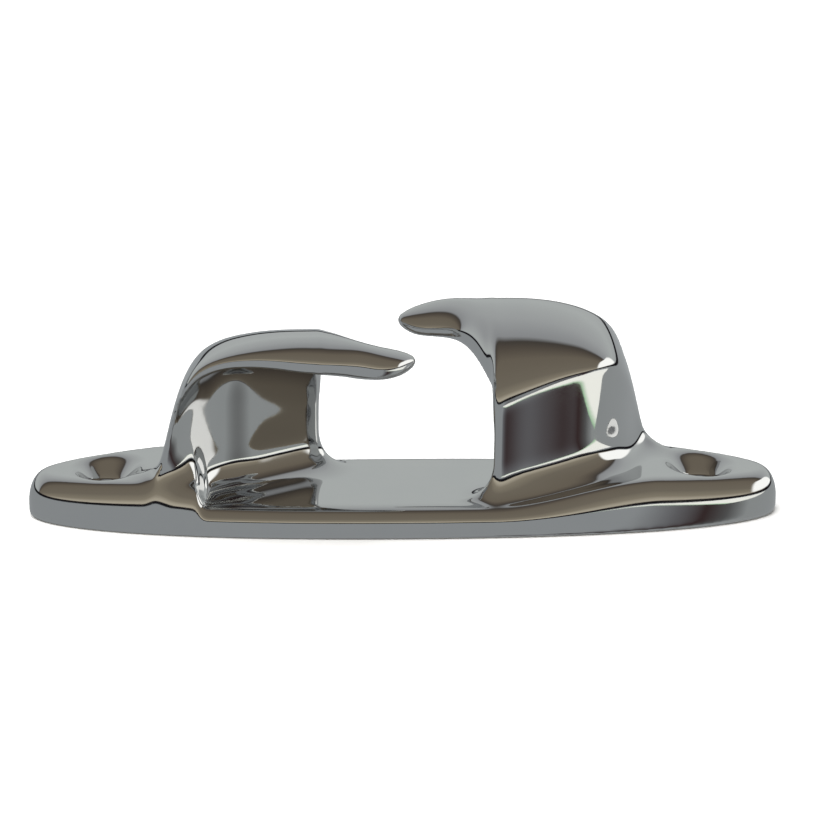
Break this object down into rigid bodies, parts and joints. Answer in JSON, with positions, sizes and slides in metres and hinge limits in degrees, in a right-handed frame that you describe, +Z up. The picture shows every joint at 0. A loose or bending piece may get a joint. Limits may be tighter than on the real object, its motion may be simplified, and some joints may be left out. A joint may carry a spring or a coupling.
{
  "type": "bow chock",
  "caption": "Straight bow chock: low oval base with countersunk screw holes, and hollow-backed posts whose staggered horns curl over an open rope channel.",
  "frame": {"origin": "middle of the base's underside", "axes": "+X along the base through both screw holes, +Y across it towards the lip of the +X post, +Z up from the deck"},
  "size_m": [0.1142, 0.0268, 0.0312],
  "materials": {
    "chrome": "polished"
  },
  "bodies": {
    "root": {"base_plate": "chrome", "post_left": "chrome", "post_right": "chrome", "horn_left": "chrome", "horn_right": "chrome"}
  },
  "joints": []
}
